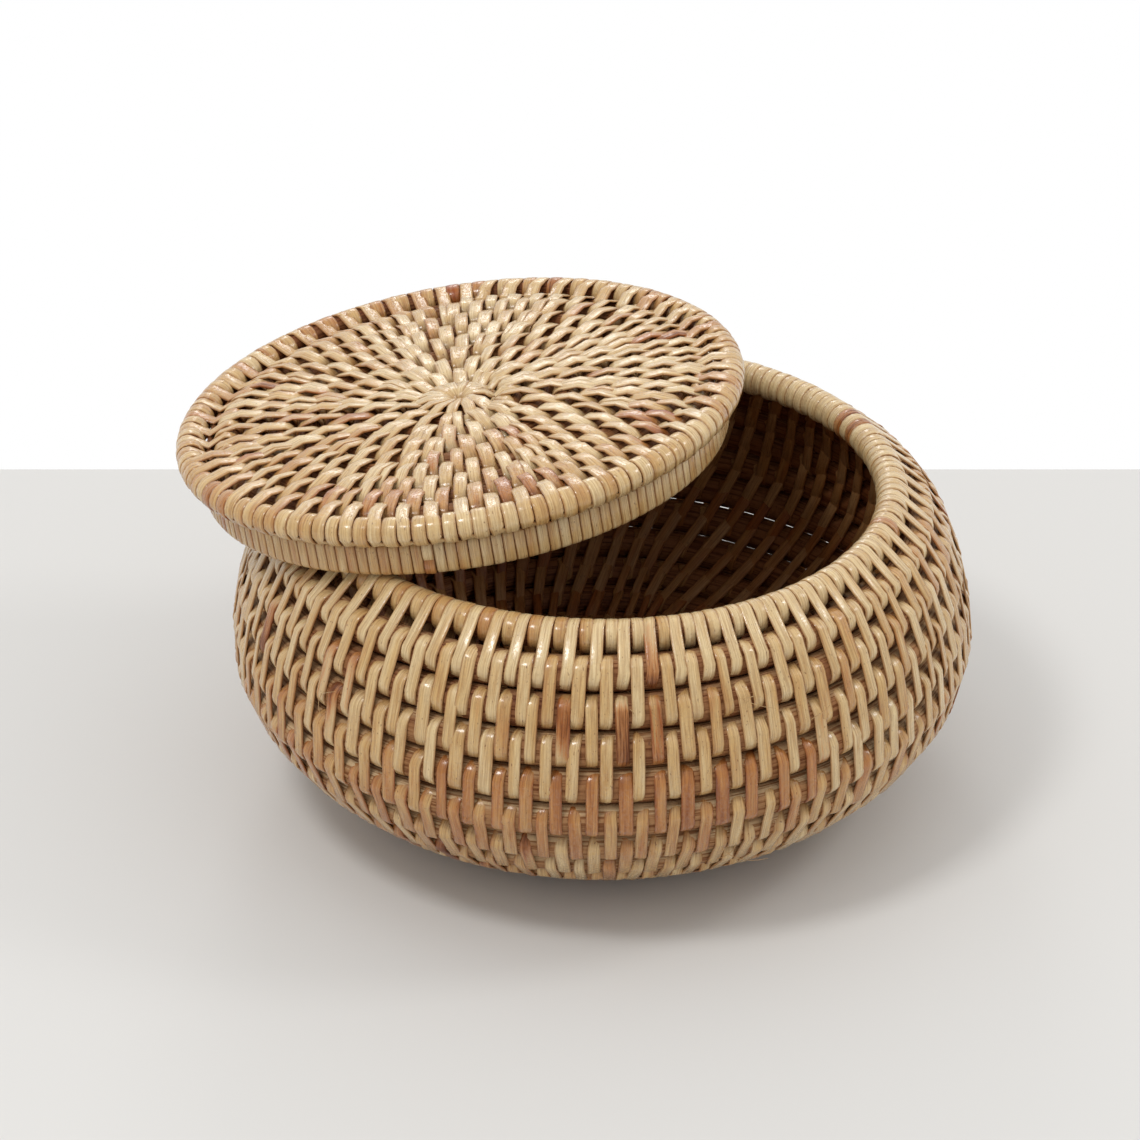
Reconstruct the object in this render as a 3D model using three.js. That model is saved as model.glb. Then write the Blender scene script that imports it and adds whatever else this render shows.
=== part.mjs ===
// A coiled rattan box: a round bowl and a loose lid, each wound from rattan rod and bound with split cane.
// Millimetres, +Z up. The origin is the middle of the bowl's underside, and the lid lies ajar on the mouth.
import * as THREE from "three";

// Cane and clearances
const CANE = 0.8; // thickness of the split cane
const SEAT_GAP = 0.3; // between pieces that touch
const COURSE_GAP = 0.6; // between two turns of a coil, where the lacing passes
const WRAP_GROOVE = 0.35; // depth of the groove between two wraps of a binding

// Bowl
const BELLY_RADIUS = 100; // outside, at the widest course
const BELLY_HEIGHT = 43.5;
const FOOT_RADIUS = 44; // where the flat base starts to turn up into the wall
const LOWER_FULLNESS = 1.72; // superellipse exponents of the swell below and above the belly
const UPPER_FULLNESS = 1.7;
const BOWL_THICKNESS = 9.8; // rod with the cane laced over both of its faces
const BOWL_COURSE = 9.7; // wanted width of a course, evened out to whole courses
const WALL_RODS = 6; // lengths of rod in the wall, spliced end to end
const BASE_KNOT_RADIUS = 11;
const RIM_RADIUS = 77; // middle of the rim roll
const RIM_HEIGHT = 84.7;
const RIM_ROLL = 9.1; // diameter over the binding
const RIM_WRAPS = 154;

// Lid
const LID_INSET = 4.4; // how far the middle of the lid's roll lies inside the middle of the rim roll
const LID_ROLL = 8; // diameter over the binding
const LID_WRAPS = 152;
const LID_THICKNESS = 11.4; // rod with the cane laced over both of its faces
const LID_DROP = 2.3; // how far the middle of the plate lies below the middle of the roll
const LID_COURSE = 7.3; // wanted width of a course, evened out to whole courses
const LID_KNOT_RADIUS = 8.5;
const LID_KNOT_HOLE = 1; // radius
const LID_KNOT_WRAPS = 16;
const COLLAR_FIT = 1.4; // between the collar and the mouth when the lid is on
const COLLAR_THICKNESS = 3.8;
const COLLAR_REACH = 14; // from the middle of the lid's roll down to the collar's lower edge
const COLLAR_WRAPS = 150;

// How the lid lies ajar: shifted this far, this many degrees from +X, leaning down on that side
const LID_SHIFT = 39.8;
const LID_SHIFT_DIRECTION = 163;

// Facets
const LOOP_STEPS = 24; // steps in a turn of a coil
const HOOP_STEPS = 36; // steps in a rim rod or a binding's bore
const BINDING_START = 0.25; // bindings start and end at the back, on the +Y side
const ROD_START = 0.75; // rim rods and the collar's hoop, opposite, where the binding covers the joint
const COIL_START = -0.25; // where the coils' turns are counted from, in turns round from +X
const TAIL_WIDTH = 1.2; // width of a coil's rod where its shaved ends stop
const SEAT_STEPS = 360; // places round the bowl where the lid is tried
const SEAT_ROUNDS = 6; // of letting the lid down until it touches
const LEAN_ROUNDS = 20; // of halving the range of the lid's lean
const STEEPEST_LEAN = 30; // degrees

const rattan = (color, roughness) => new THREE.MeshStandardMaterial({ color, roughness, metalness: 0 });
const rodMaterial = rattan(0xb8935f, 0.6);
const caneMaterial = rattan(0xcdb280, 0.42);
const knotMaterial = rattan(0xc2a06a, 0.45);

const mesh = (name, geometry, material) => {
  const made = new THREE.Mesh(geometry, material);
  made.name = name;
  return made;
};

/** A quarter superellipse in (radius, height), run from its start to its end; `level` is its level end. */
class Swell extends THREE.Curve {
  constructor(level, upright, fullness, fromLevel) {
    super();
    Object.assign(this, { level, upright, fullness, fromLevel });
  }

  getPoint(share, target = new THREE.Vector2()) {
    const turn = ((this.fromLevel ? share : 1 - share) * Math.PI) / 2;
    const { level, upright } = this;
    const power = 2 / this.fullness;
    return target.set(
      level.x + (upright.x - level.x) * Math.sin(turn) ** power,
      upright.y + (level.y - upright.y) * Math.abs(Math.cos(turn)) ** power,
    );
  }
}

/** Section corners in turn, along the profile and out of it. */
const hexagon = (along, out) => [
  [along, 0],
  [along / 2, out],
  [-along / 2, out],
  [-along, 0],
  [-along / 2, -out],
  [along / 2, -out],
];
const roundSection = (radius) => hexagon(radius, radius * Math.sin(Math.PI / 3));
const flatSection = (along, out) => [
  [along, out],
  [-along, out],
  [-along, -out],
  [along, -out],
];

/** A section's corners stood across the way round the axis, at a point and direction of the profile. */
function ring(turn, middle, along, corners) {
  const angle = 2 * Math.PI * turn;
  return corners.map(([a, o]) => {
    const radius = middle.x + along.x * a + along.y * o;
    const height = middle.y + along.y * a - along.x * o;
    return new THREE.Vector3(radius * Math.cos(angle), radius * Math.sin(angle), height);
  });
}

/** A closed skin through rings of corners, capped at both ends, or joined from its last ring to its first. */
function skin(rings, joined = false) {
  const sides = rings[0].length;
  const index = [];
  const at = (i, j) => (i % rings.length) * sides + (j % sides);
  for (let i = 0; i < rings.length - (joined ? 0 : 1); i++) {
    for (let j = 0; j < sides; j++) {
      index.push(at(i, j), at(i, j + 1), at(i + 1, j + 1));
      index.push(at(i, j), at(i + 1, j + 1), at(i + 1, j));
    }
  }
  for (let j = 1; j < sides - 1 && !joined; j++) {
    index.push(at(0, 0), at(0, j + 1), at(0, j));
    index.push(at(rings.length - 1, 0), at(rings.length - 1, j), at(rings.length - 1, j + 1));
  }
  const geometry = new THREE.BufferGeometry().setFromPoints(rings.flat());
  geometry.setIndex(index);
  geometry.computeVertexNormals();
  return geometry;
}

/**
 * The rings of a rod wound in courses along a profile of the given length. The first and last turns are
 * shaved to wedges, so that the coil begins and ends level.
 */
function coilRings(profile, length, wantedCourse, thickness) {
  const courses = Math.round(length / wantedCourse);
  const course = length / courses;
  const tail = Math.ceil(((TAIL_WIDTH + COURSE_GAP) / course) * LOOP_STEPS);
  const rings = [];
  for (let step = tail; step <= (courses + 1) * LOOP_STEPS - tail; step++) {
    const turn = step / LOOP_STEPS;
    const low = Math.max(0, (turn - 1) * course);
    const high = Math.min(length, turn * course);
    const { middle, along } = profile((low + high) / 2);
    rings.push(ring(turn + COIL_START, middle, along, hexagon((high - low - COURSE_GAP) / 2, thickness / 2)));
  }
  return rings;
}

/** The least distance between the corners of each ring and of the ring one turn on. */
function leastGap(rings) {
  let least = Infinity;
  for (let i = 0; i + LOOP_STEPS < rings.length; i++) {
    for (const corner of rings[i]) {
      for (const other of rings[i + LOOP_STEPS]) least = Math.min(least, corner.distanceTo(other));
    }
  }
  return least;
}

/** Part of a coil, cut square in the middle of its first and last steps, half a gap short of the next rod. */
function rodLength(rings) {
  const cut = (near, far) => {
    const share = 0.5 + SEAT_GAP / 2 / near[0].distanceTo(far[0]);
    return near.map((corner, j) => corner.clone().lerp(far[j], share));
  };
  const last = rings.length - 1;
  return [cut(rings[0], rings[1]), ...rings.slice(1, last), cut(rings[last], rings[last - 1])];
}

/** Rings of one section all the way round, from one end to the other across the gap where they meet. */
function hoopRings(middle, start, steps, sectionAt) {
  const gap = SEAT_GAP / (2 * Math.PI * middle.x);
  const upright = new THREE.Vector2(0, 1);
  return Array.from({ length: steps + 1 }, (_, i) => {
    const turn = start + gap / 2 + ((1 - gap) * i) / steps;
    return ring(turn, middle, upright, sectionAt(i));
  });
}

const hoop = (middle, section) => skin(hoopRings(middle, ROD_START, HOOP_STEPS, () => section));

/** Cane wound round a hoop: a sleeve with a groove between its wraps, and a bore for the hoop. */
function binding(middle, wraps, sectionAt, bore) {
  const groove = (i) => (i % 2 ? 0 : WRAP_GROOVE);
  const outside = hoopRings(middle, BINDING_START, 2 * wraps, (i) => sectionAt(groove(i)));
  const inside = hoopRings(middle, BINDING_START, HOOP_STEPS, () => bore);
  return skin([...outside, ...inside.reverse()], true);
}

/** A rim: its rod and the cane wound round it, in a roll of the given diameter. */
function rim(name, middle, roll, wraps) {
  const radius = roll / 2;
  return [
    mesh(`${name}_rod`, hoop(middle, roundSection(radius - CANE - SEAT_GAP)), rodMaterial),
    mesh(
      `${name}_binding`,
      binding(middle, wraps, (groove) => roundSection(radius - groove), roundSection(radius - CANE)),
      caneMaterial,
    ),
  ];
}

/** The middle of the bowl's wall in (radius, height): flat base, swell out to the belly, and in to the rim. */
const rimMiddle = new THREE.Vector2(RIM_RADIUS, RIM_HEIGHT);
const baseStart = BASE_KNOT_RADIUS + SEAT_GAP;
const wall = new THREE.CurvePath();
{
  const half = BOWL_THICKNESS / 2;
  const foot = new THREE.Vector2(FOOT_RADIUS, half);
  const belly = new THREE.Vector2(BELLY_RADIUS - half, BELLY_HEIGHT);
  wall.add(new THREE.LineCurve(new THREE.Vector2(baseStart, half), foot));
  wall.add(new Swell(foot, belly, LOWER_FULLNESS, true));
  wall.add(new Swell(rimMiddle, belly, UPPER_FULLNESS, false));
}

/** The bowl: knot, flat base, swelling wall and rim. */
function makeBowl() {
  const whole = wall.getLength();
  const profile = (s) => ({ middle: wall.getPoint(s / whole), along: wall.getTangent(s / whole) });
  const facetSag = RIM_RADIUS * (1 - Math.cos(Math.PI / LOOP_STEPS));
  const length = whole - RIM_ROLL / 2 - SEAT_GAP - facetSag;
  const rings = coilRings(profile, length, BOWL_COURSE, BOWL_THICKNESS);
  console.log(`bowl coil: least gap between turns ${leastGap(rings).toFixed(2)} mm`);
  // The turns that the bowl stands on are flat underneath.
  for (const corner of rings.flat()) corner.z = Math.max(corner.z, 0);

  const bowl = new THREE.Group();
  const baseSteps = Math.round((FOOT_RADIUS - baseStart) / BOWL_COURSE) * LOOP_STEPS;
  const wallSteps = Math.floor((rings.length - 2 - baseSteps) / WALL_RODS);
  const addRod = (name, from, to) => {
    bowl.add(mesh(name, skin(rodLength(rings.slice(from, to + 2))), rodMaterial));
  };
  addRod("base_coil", 0, baseSteps);
  for (let i = 0; i < WALL_RODS; i++) {
    const from = baseSteps + i * wallSteps;
    addRod(`wall_coil_${i + 1}`, from, i === WALL_RODS - 1 ? rings.length - 2 : from + wallSteps);
  }
  bowl.add(mesh("base_knot", solidKnot(BASE_KNOT_RADIUS, BOWL_THICKNESS), knotMaterial));
  bowl.add(...rim("mouth_rim", rimMiddle, RIM_ROLL, RIM_WRAPS));
  return bowl;
}

/** The curled-up start of the base: a flat round button with eased edges, standing on z = 0. */
function solidKnot(radius, thickness) {
  const ease = thickness / 6;
  const profile = [
    [0, 0],
    [radius - ease, 0],
    [radius, ease],
    [radius, thickness - ease],
    [radius - ease, thickness],
    [0, thickness],
  ].map(([r, z]) => new THREE.Vector2(r, z));
  return new THREE.LatheGeometry(profile, LOOP_STEPS).rotateX(Math.PI / 2);
}

const lidRollRadius = RIM_RADIUS - LID_INSET;
const collarRadius = RIM_RADIUS - RIM_ROLL / 2 - COLLAR_FIT;
const lidUnderside = -LID_DROP - LID_THICKNESS / 2;

/** The lid in its own frame: the middle of its roll is the origin, and the collar stands round its plate. */
function makeLid() {
  const lid = new THREE.Group();
  const start = LID_KNOT_RADIUS + SEAT_GAP;
  const profile = (s) => ({
    middle: new THREE.Vector2(start + s, -LID_DROP),
    along: new THREE.Vector2(1, 0),
  });
  const edge = Math.min(collarRadius - COLLAR_THICKNESS, lidRollRadius - LID_ROLL / 2) - SEAT_GAP;
  const length = edge - start;
  const rings = coilRings(profile, length, LID_COURSE, LID_THICKNESS);
  console.log(`lid coil: least gap between turns ${leastGap(rings).toFixed(2)} mm`);
  lid.add(mesh("lid_coil", skin(rodLength(rings)), rodMaterial));

  const knotMiddle = new THREE.Vector2((LID_KNOT_HOLE + LID_KNOT_RADIUS) / 2, -LID_DROP);
  const knotWidth = (LID_KNOT_RADIUS - LID_KNOT_HOLE) / 2;
  const knotRings = Array.from({ length: 2 * LID_KNOT_WRAPS }, (_, i) => {
    const groove = i % 2 ? 0 : WRAP_GROOVE;
    const section = hexagon(knotWidth - groove, LID_THICKNESS / 2 - groove);
    return ring(i / (2 * LID_KNOT_WRAPS), knotMiddle, new THREE.Vector2(1, 0), section);
  });
  lid.add(mesh("lid_knot", skin(knotRings, true), knotMaterial));
  lid.add(...rim("lid_rim", new THREE.Vector2(lidRollRadius, 0), LID_ROLL, LID_WRAPS));

  const top = -LID_ROLL / 2 - SEAT_GAP;
  const collarMiddle = new THREE.Vector2(collarRadius - COLLAR_THICKNESS / 2, (top - COLLAR_REACH) / 2);
  const halfHeight = (top + COLLAR_REACH) / 2;
  const collarSection = (inset) => flatSection(halfHeight - inset, COLLAR_THICKNESS / 2 - inset);
  lid.add(mesh("collar_hoop", hoop(collarMiddle, collarSection(CANE + SEAT_GAP)), rodMaterial));
  const collarBinding = binding(collarMiddle, COLLAR_WRAPS, collarSection, collarSection(CANE));
  lid.add(mesh("collar_binding", collarBinding, caneMaterial));
  return lid;
}

/** Points in (radius, height) up the outside of the bowl and round its rim roll, where the lid can touch. */
function bowlOutline() {
  const points = [];
  for (let i = 0; i <= LOOP_STEPS; i++) {
    const middle = wall.getPoint(i / LOOP_STEPS);
    const along = wall.getTangent(i / LOOP_STEPS);
    points.push(middle.add(new THREE.Vector2(along.y, -along.x).multiplyScalar(BOWL_THICKNESS / 2)));
    const over = (2 * Math.PI * i) / LOOP_STEPS;
    const toRoll = new THREE.Vector2(Math.cos(over), Math.sin(over)).multiplyScalar(RIM_ROLL / 2);
    points.push(toRoll.add(rimMiddle));
  }
  return points;
}

/** The lid's underside in its own frame, at a distance from its axis: plate, collar, rim roll, then nothing. */
function lidBottom(out) {
  if (out < collarRadius - COLLAR_THICKNESS) return lidUnderside;
  if (out < collarRadius) return -COLLAR_REACH;
  const fromRoll = Math.abs(out - lidRollRadius);
  return fromRoll < LID_ROLL / 2 ? -Math.sqrt((LID_ROLL / 2) ** 2 - fromRoll ** 2) : Infinity;
}

/** Lets the lid down, leaning by an angle in radians: its height and the touch's place, from its middle. */
function letDown(lean, outline) {
  let rise = RIM_HEIGHT + RIM_ROLL / 2 + COLLAR_REACH;
  let touch = 0;
  for (let pass = 0; pass < SEAT_ROUNDS; pass++) {
    let room = Infinity;
    for (let i = 0; i < SEAT_STEPS; i++) {
      const round = (2 * Math.PI * i) / SEAT_STEPS;
      for (const point of outline) {
        const x = point.x * Math.cos(round) - LID_SHIFT;
        const z = point.y - rise;
        const out = Math.hypot(x * Math.cos(lean) - z * Math.sin(lean), point.x * Math.sin(round));
        const below = lidBottom(out) - x * Math.sin(lean) - z * Math.cos(lean);
        if (below < room) [room, touch] = [below, x];
      }
    }
    rise -= room / Math.cos(lean);
  }
  return { rise, touch };
}

/** Tips the shifted lid over the crossings of collar and rim until it touches beyond its middle too. */
function seatLid(lid) {
  const outline = bowlOutline();
  let [low, high] = [0, THREE.MathUtils.degToRad(STEEPEST_LEAN)];
  for (let i = 0; i < LEAN_ROUNDS; i++) {
    const lean = (low + high) / 2;
    [low, high] = letDown(lean, outline).touch < 0 ? [lean, high] : [low, lean];
  }
  const rise = letDown(low, outline).rise + SEAT_GAP / Math.cos(low);
  const direction = THREE.MathUtils.degToRad(LID_SHIFT_DIRECTION);
  lid.position.set(LID_SHIFT * Math.cos(direction), LID_SHIFT * Math.sin(direction), rise);
  lid.quaternion.setFromAxisAngle(new THREE.Vector3(-Math.sin(direction), Math.cos(direction), 0), low);
  const lean = THREE.MathUtils.radToDeg(low);
  console.log(`lid: leans ${lean.toFixed(2)} degrees, the middle of its roll at ${rise.toFixed(2)} mm`);
}

const box = new THREE.Group();
const lid = makeLid();
seatLid(lid);
box.add(makeBowl(), lid);
export default box;
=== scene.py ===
import math
from collections import namedtuple

import bpy
import numpy as np
from mathutils import Matrix, Vector


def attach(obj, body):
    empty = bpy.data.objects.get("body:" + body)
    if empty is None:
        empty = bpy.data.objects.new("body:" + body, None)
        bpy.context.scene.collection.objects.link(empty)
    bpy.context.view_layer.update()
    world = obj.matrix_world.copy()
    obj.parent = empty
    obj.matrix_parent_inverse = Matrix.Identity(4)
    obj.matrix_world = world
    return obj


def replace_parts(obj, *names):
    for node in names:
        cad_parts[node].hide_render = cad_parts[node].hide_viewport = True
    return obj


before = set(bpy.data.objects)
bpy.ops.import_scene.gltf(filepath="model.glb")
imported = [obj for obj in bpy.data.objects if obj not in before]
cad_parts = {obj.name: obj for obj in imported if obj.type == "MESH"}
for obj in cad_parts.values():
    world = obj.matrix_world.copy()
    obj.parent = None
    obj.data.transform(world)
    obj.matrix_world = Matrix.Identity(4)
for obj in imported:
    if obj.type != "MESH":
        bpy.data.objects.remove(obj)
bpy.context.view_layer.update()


# The bowl's rod: round peeled rattan about 8 mm thick, wound in one spiral from the middle of the base
# up to the mouth. It comes in lengths that are spliced end to end, and its last turn is shaved to a wedge.
MM = 0.001
CANE = 0.8  # thickness of the split cane that laces the rod
SEAT_GAP = 0.3
BELLY_RADIUS = 100
BELLY_HEIGHT = 43.5
FOOT_RADIUS = 44
LOWER_FULLNESS = 1.72
UPPER_FULLNESS = 1.7
SWELL_POINTS = 1500
FLAT_POINTS = 60
BOWL_THICKNESS = 9.8
BOWL_COURSE = 9.7
BASE_KNOT_RADIUS = 11
BASE_KNOT_HOLE = 1.2
RIM_RADIUS = 77
RIM_HEIGHT = 84.7
RIM_ROLL = 9.1
WALL_RODS = 6
FACET_SAG = 0.66  # the coil stops this much short of the rim's binding
COIL_START = -0.25  # turns are counted from here, in turns round from +X
COIL_TAIL = 5 / 24  # turn at which the rod's shaved first end starts
BASE_END = 3 + 5.5 / 24  # turn at which the base's rod is spliced to the wall's first
WALL_ROD_TURNS = 50 / 24
SLOPE_REACH = 1.5  # the wall's slope is taken over this far both ways
SHAVED_LEAST = 0.4  # where the rod is shaved narrow it is thinner too, down to this share
SHAVED_GROWTH = 1.2
NARROWEST = 0.35
ROD_STEPS = 110  # rings in a turn
ROD_SIDES = 14
SIDE_ANGLES = np.linspace(0, 360, ROD_SIDES, endpoint=False) + 7
SIDE_SPREAD = 60  # degrees round the rod for each step across the grain
ROD_SWELL = 0.77  # between the stitches the rods bulge towards each other, by about this much
SHADE_START = 0.5  # how far out, of the rod's half depth, the painted shade on its inner side begins
BULGES = 1400
BULGES_IN_A_TURN = 80
BULGE_SPREAD = 0.1
LEAST_BULGE = 0.7  # of the swell
MOST_BULGE = 0.8
ROD_TONES = (0.55, 0.6, 0.65, 0.7, 0.68, 0.48, 0.25)  # the lengths of rod get browner towards the mouth
draw = np.random.RandomState(7)

# How a rod lies at one place: its middle in (radius, height), the way along the wall and out of it,
# its half width along the wall and its half depth across it.
Lay = namedtuple("Lay", "middle along out half depth")


def quarter_swell(level, upright, fullness):
    """A quarter superellipse in (radius, height), from its level end to its upright end."""
    turn = np.linspace(0, math.pi / 2, SWELL_POINTS)
    level, upright = np.array(level, float), np.array(upright, float)
    share = np.stack([np.sin(turn) ** (2 / fullness), 1 - np.abs(np.cos(turn)) ** (2 / fullness)], -1)
    return level + (upright - level) * share


def measured(points):
    """A line and the distance along it at each of its points."""
    steps = np.linalg.norm(np.diff(points, axis=0), axis=1)
    return points, np.concatenate([[0], np.cumsum(steps)])


def make_coil(line, length, wanted_course, thickness, knot_hole):
    """A function of the turn that says how the rod of a coil along that line lies there."""
    points, far = measured(line)
    courses = round(length / wanted_course)
    course = length / courses
    knot_edge = points[0, 0] - SEAT_GAP
    at = lambda d: np.array([np.interp(d, far, points[:, 0]), np.interp(d, far, points[:, 1])])

    def lay(turn):
        if turn < COIL_TAIL:
            middle = np.array([(knot_hole + knot_edge) / 2, points[0, 1]])
            half, along = (knot_edge - knot_hole) / 2, np.array([1.0, 0.0])
        else:
            low, high = max(0, (turn - 1) * course), min(length, turn * course)
            s = (low + high) / 2
            middle, half = at(s), (high - low) / 2
            along = at(s + SLOPE_REACH) - at(s - SLOPE_REACH)
            along /= np.linalg.norm(along)
        out = np.array([along[1], -along[0]])
        shaved = min(1, SHAVED_LEAST + SHAVED_GROWTH * half / course)
        return Lay(middle, along, out, max(half - CANE, NARROWEST), (thickness / 2 - CANE) * shaved)

    return lay, courses


def over(lay, degrees):
    """Places on the rod and ways out of it, by the angle from its outermost line towards its upper side."""
    turn = np.radians(np.asarray(degrees, float))[:, None]
    ease = min(lay.half, lay.depth)
    sine, cosine = np.sin(turn), np.cos(turn)
    up = (lay.half - ease) * np.sign(sine) + ease * sine
    away = (lay.depth - ease) * np.sign(cosine) + ease * cosine
    return lay.middle + up * lay.along + away * lay.out, sine * lay.along + cosine * lay.out


def angle_of(turn):
    """The angle round the axis at a turn of a coil."""
    return 2 * math.pi * (turn + COIL_START)


def stand(flat, angle):
    """Puts (radius, height) points round the axis, at angles in radians."""
    return np.stack([flat[..., 0] * np.cos(angle), flat[..., 0] * np.sin(angle), flat[..., 1]], -1)


def skin(rings, closed=False):
    """The points and faces of a skin over rings of points, with flat ends or joined up."""
    count, sides = rings.shape[:2]
    i, j = np.meshgrid(np.arange(count if closed else count - 1), np.arange(sides), indexing="ij")
    k, m = (i + 1) % count, (j + 1) % sides
    corners = [i * sides + j, i * sides + m, k * sides + m, k * sides + j]
    faces = np.stack(corners, -1).reshape(-1, 4).tolist()
    if not closed:
        faces += [list(range(sides))[::-1], list(range((count - 1) * sides, count * sides))]
    return rings.reshape(-1, 3), faces


def at_each(along, across, third):
    """Three values for each point of a skin, from values by ring, by side or for all."""
    return np.stack(np.broadcast_arrays(along, across, third), -1).reshape(-1, 3)


def add_piece(name, points, faces, place, look, finish, body):
    """A piece on a body, in metres. place is (distance along, place across, seed) at each point for the
    grain, and look is (tone, stain, painted shade in a groove or on a rod's inner side)."""
    mesh = bpy.data.meshes.new(name)
    mesh.from_pydata(points.tolist(), [], faces)
    mesh.polygons.foreach_set("use_smooth", np.ones(len(faces), bool))
    for title, values in (("place", place), ("look", look)):
        layer = mesh.attributes.new(title, "FLOAT_VECTOR", "POINT")
        layer.data.foreach_set("vector", np.ascontiguousarray(values, np.float32).ravel())
    mesh.materials.append(finish)
    piece = bpy.data.objects.new(name, mesh)
    bpy.context.scene.collection.objects.link(piece)
    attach(piece, body)
    return piece


def add_rod(name, lay_at, turns, swell, body, frame_of, seed, tone, shade):
    """A rod along a coil from the first to the last of these turns. shade darkens its inner side as painted
    shade.
    """
    bulges = np.clip(swell + BULGE_SPREAD * draw.randn(BULGES), LEAST_BULGE * swell, MOST_BULGE)
    rings = []
    for turn in turns:
        lay = lay_at(turn)
        bulge = np.interp(turn * BULGES_IN_A_TURN, range(BULGES), bulges)
        flat, _ = over(lay._replace(half=lay.half + bulge), 90 - SIDE_ANGLES)
        rings.append(stand(flat, angle_of(turn)))
    rings = np.array(rings)
    points, faces = skin(rings)
    along = measured(rings.mean(1))[1]
    place = at_each(along[:, None] * MM, SIDE_ANGLES / SIDE_SPREAD, seed)
    # Painted shade: the rod is darkened on its inner side, where shade falls inside the bowl.
    inner_shade = shade * np.clip(SHADE_START - np.cos(np.radians(90 - SIDE_ANGLES)), 0, 1)
    look = at_each(tone, 0.0, np.tile(inner_shade, len(turns)))
    return add_piece(name, frame_of(points * MM), faces, place, look, rod_finish, body)


def put(tree, kind, links=None, **settings):
    """A node with its settings, and with its inputs set to a value or joined to another node's output."""
    node = tree.nodes.new(kind)
    for key, value in settings.items():
        setattr(node, key, value)
    for key, value in (links or {}).items():
        if isinstance(value, bpy.types.NodeSocket):
            tree.links.new(value, node.inputs[key])
        else:
            node.inputs[key].default_value = value
    return node


def worked(tree, operation, *values):
    """The result of a sum."""
    return put(tree, "ShaderNodeMath", dict(enumerate(values)), operation=operation).outputs[0]


def ranged(tree, value, low, high, first=0.0, last=1.0):
    """A value that goes from first to last while another goes from low to high."""
    return put(tree, "ShaderNodeMapRange", {0: value, 1: low, 2: high, 3: first, 4: last}).outputs[0]


def grain_group():
    """Rattan's lengthwise grain: fine fibres, slow blotches along the strand, a few dark specks, and pits."""
    tree = bpy.data.node_groups.new("rattan grain", "ShaderNodeTree")
    socket = tree.interface.new_socket
    socket("Place", in_out="INPUT", socket_type="NodeSocketVector")
    for title in ("Fibres across", "Fibres along", "Blotches along"):
        socket(title, in_out="INPUT", socket_type="NodeSocketFloat")
    given = put(tree, "NodeGroupInput").outputs
    along_at, across_at, seed = put(tree, "ShaderNodeSeparateXYZ", {0: given["Place"]}).outputs

    def noise(along, across, apart, detail, roughness=0.5):
        spot = put(tree, "ShaderNodeCombineXYZ", {
            0: worked(tree, "MULTIPLY", along_at, along), 1: worked(tree, "MULTIPLY", across_at, across),
            2: worked(tree, "MULTIPLY", seed, apart)})
        return put(tree, "ShaderNodeTexNoise", {
            "Vector": spot.outputs[0], "Scale": 1.0, "Detail": detail, "Roughness": roughness}).outputs[0]

    fibre = noise(given["Fibres along"], given["Fibres across"], apart=37.0, detail=3.0, roughness=0.65)
    blotch = noise(given["Blotches along"], across=0.7, apart=53.0, detail=2.0)
    speck = ranged(tree, noise(along=900.0, across=3.0, apart=71.0, detail=1.0), 0.7, 0.76)
    pit = noise(along=1400.0, across=2.6, apart=91.0, detail=1.0)
    found = {"Fibre": fibre, "Blotch": blotch, "Speck": speck, "Pit": pit}
    for title in found:
        socket(title, in_out="OUTPUT", socket_type="NodeSocketFloat")
    put(tree, "NodeGroupOutput", found)
    return tree


grain = grain_group()
BLOTCH_SPREAD = 0.95
# The cane is darker towards its edges: partly its own browner edges, partly painted shade where the strip
# rounds off.
EDGE_START = 0.7  # of the way from a strand's middle to its edge
EDGE_SHARE = 0.8
EDGE_BROWN_AND_SHADE_COLOUR = (0.62, 0.4, 0.25, 1)
SPECK_SHARE = 0.6
RUST_COLOUR = (0.74, 0.42, 0.24, 1)
RUST_START, PATCH_START, PATCH_END = 0.84, 1.02, 1.18  # a stain is rusty round a dark patch
# Painted shade: the colour that darkens the cane in the grooves between the rods, and the rods on their inner
# side.
GROOVE_SHADE_COLOUR = (0.5, 0.28, 0.15, 1)
GROOVE_SHADE_SHARE = 0.8
FIBRE_STREAK, BLOTCH_STREAK = 0.8, 0.5  # how far the grain breaks up a stain
DEEP_FIBRE, HIGH_FIBRE = 0.3, 0.7
ROUGHER, SMOOTHER = 0.12, 0.06  # between the fibres and on them
PIT_SHARE = 0.7
GRAIN_DEPTH = 0.3
CRACKLE_START, CRACKLE_END, THINNEST_COAT = 0.42, 0.58, 0.25  # the varnish is thin in the pits
COAT_ROUGHNESS = 0.2
COAT_IOR = 1.6


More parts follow.
